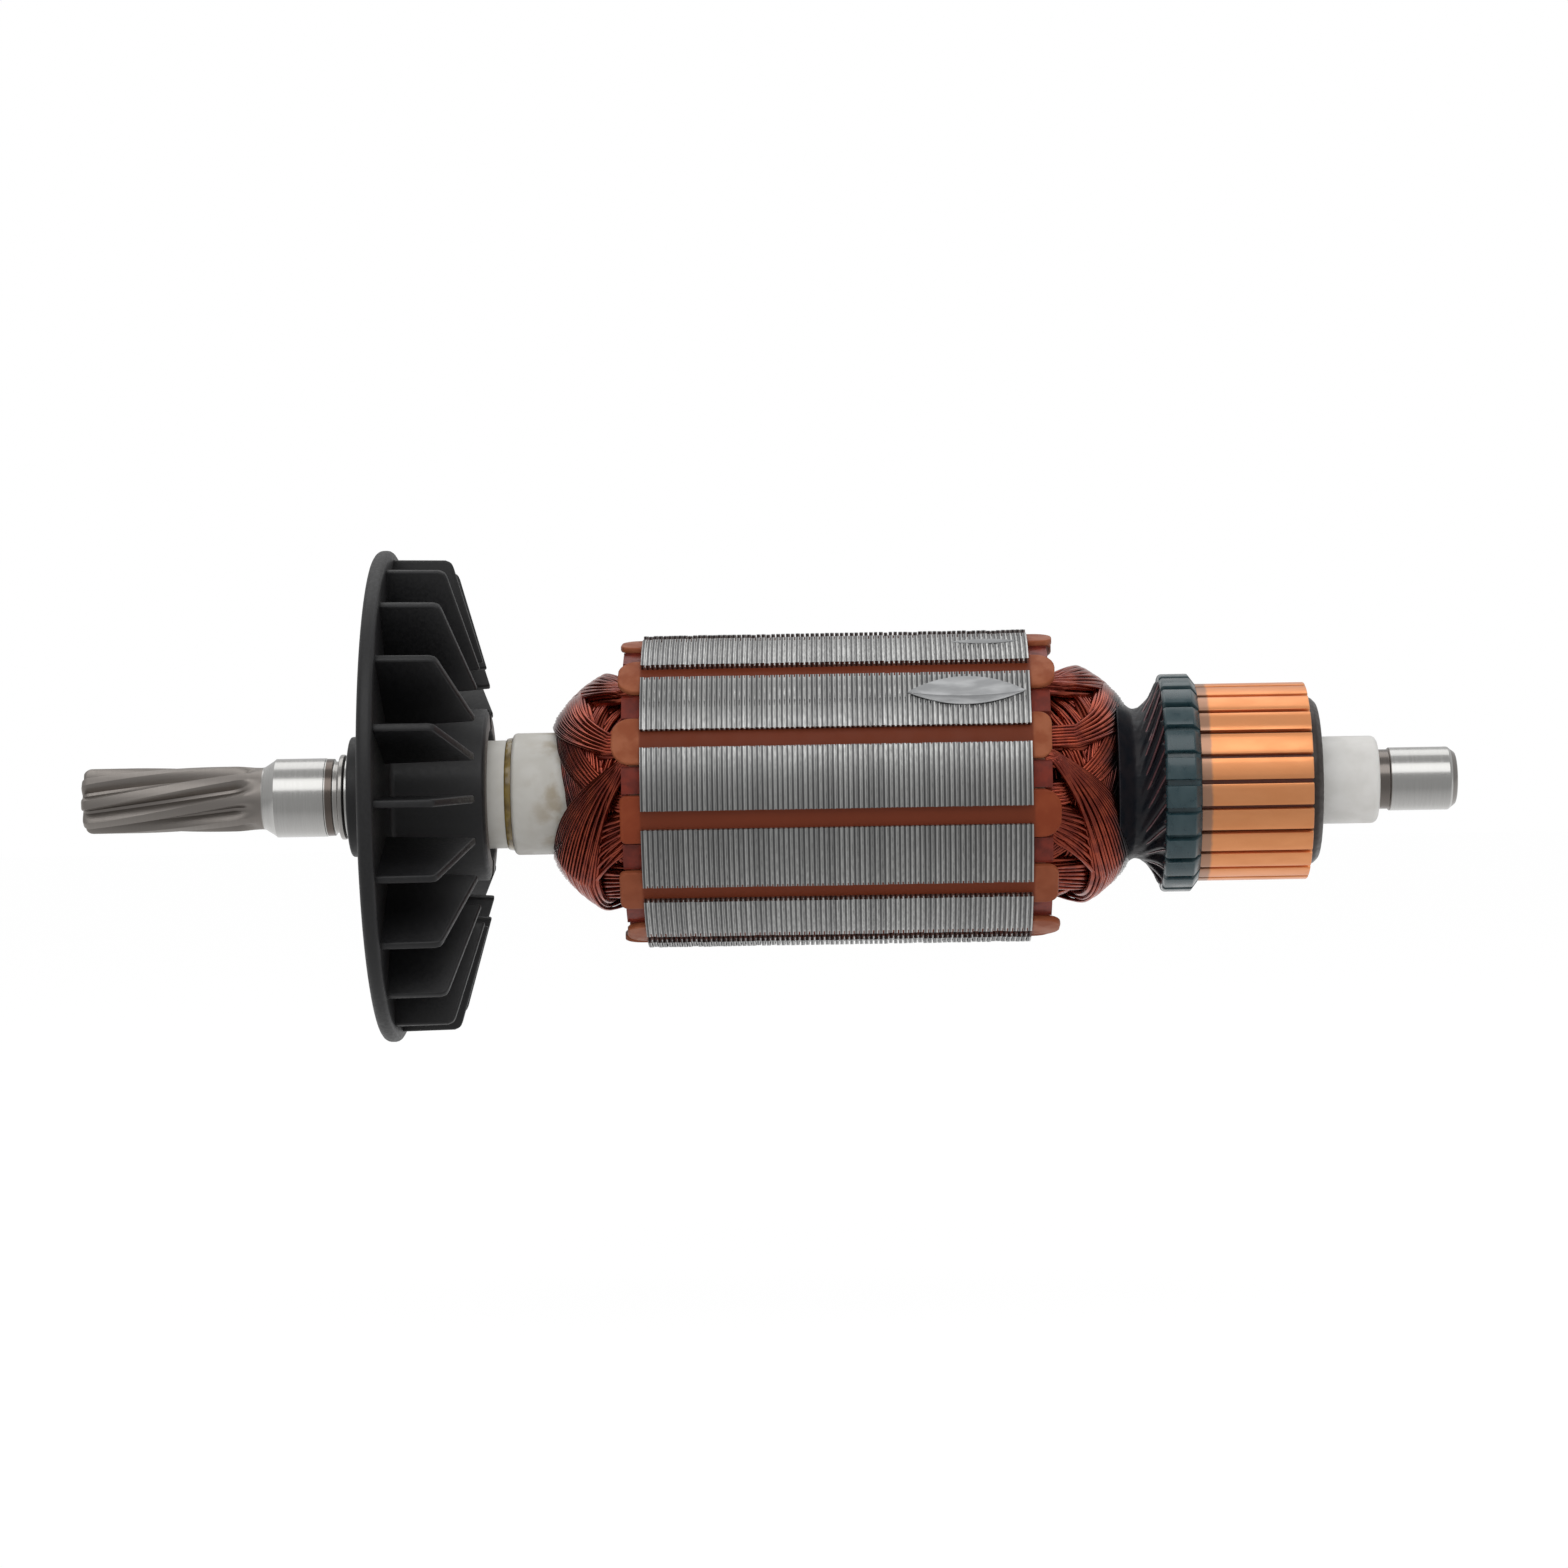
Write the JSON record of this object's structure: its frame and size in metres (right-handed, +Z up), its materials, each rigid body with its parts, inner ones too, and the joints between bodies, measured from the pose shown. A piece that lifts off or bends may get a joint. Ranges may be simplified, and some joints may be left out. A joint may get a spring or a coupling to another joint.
{
  "type": "motor armature",
  "caption": "Wound armature of a brushed motor: toothed shaft, radial fan, laminated core with coils, and a commutator.",
  "frame": {"origin": "centre of the drive-end bearing seat, on the shaft's axis", "axes": "+X along the shaft towards the commutator, +Z up"},
  "size_m": [0.1742, 0.0624, 0.0624],
  "materials": {
    "ground_steel": "ground",
    "fan_plastic": "moulded matt black",
    "insulation": "white moulded plastic",
    "varnish": "amber varnish",
    "lamination_steel": "turned laminations",
    "slot_insulation": "red-brown pressed fibre",
    "liner_film": "translucent film",
    "wedge_fibre": "orange-brown fibre",
    "enamelled_copper": "red-brown enamel on copper",
    "bar_copper": "turned copper",
    "black_moulding": "black moulding compound",
    "coated_leads": "enamelled copper under dark varnish",
    "resin": "dark teal resin"
  },
  "bodies": {
    "root": {"shaft": "ground_steel", "fan": "fan_plastic", "drive_sleeve": "insulation", "varnish_ring": "varnish", "core": "lamination_steel", "drive_end_insulator": "slot_insulation", "commutator_end_insulator": "slot_insulation", "slot_liners": "liner_film", "slot_wedge_01": "wedge_fibre", "slot_wedge_02": "wedge_fibre", "slot_wedge_03": "wedge_fibre", "slot_wedge_04": "wedge_fibre", "slot_wedge_05": "wedge_fibre", "slot_wedge_06": "wedge_fibre", "slot_wedge_07": "wedge_fibre", "slot_wedge_08": "wedge_fibre", "slot_wedge_09": "wedge_fibre", "slot_wedge_10": "wedge_fibre", "slot_wedge_11": "wedge_fibre", "slot_wedge_12": "wedge_fibre", "coil_01": "enamelled_copper", "coil_02": "enamelled_copper", "coil_03": "enamelled_copper", "coil_04": "enamelled_copper", "coil_05": "enamelled_copper", "coil_06": "enamelled_copper", "coil_07": "enamelled_copper", "coil_08": "enamelled_copper", "coil_09": "enamelled_copper", "coil_10": "enamelled_copper", "coil_11": "enamelled_copper", "coil_12": "enamelled_copper", "commutator_bar_01": "bar_copper", "commutator_bar_02": "bar_copper", "commutator_bar_03": "bar_copper", "commutator_bar_04": "bar_copper", "commutator_bar_05": "bar_copper", "commutator_bar_06": "bar_copper", "commutator_bar_07": "bar_copper", "commutator_bar_08": "bar_copper", "commutator_bar_09": "bar_copper", "commutator_bar_10": "bar_copper", "commutator_bar_11": "bar_copper", "commutator_bar_12": "bar_copper", "commutator_bar_13": "bar_copper", "commutator_bar_14": "bar_copper", "commutator_bar_15": "bar_copper", "commutator_bar_16": "bar_copper", "commutator_bar_17": "bar_copper", "commutator_bar_18": "bar_copper", "commutator_bar_19": "bar_copper", "commutator_bar_20": "bar_copper", "commutator_bar_21": "bar_copper", "commutator_bar_22": "bar_copper", "commutator_bar_23": "bar_copper", "commutator_bar_24": "bar_copper", "commutator_moulding": "black_moulding", "coil_leads": "coated_leads", "lead_resin": "resin", "end_bush": "insulation"}
  },
  "joints": []
}
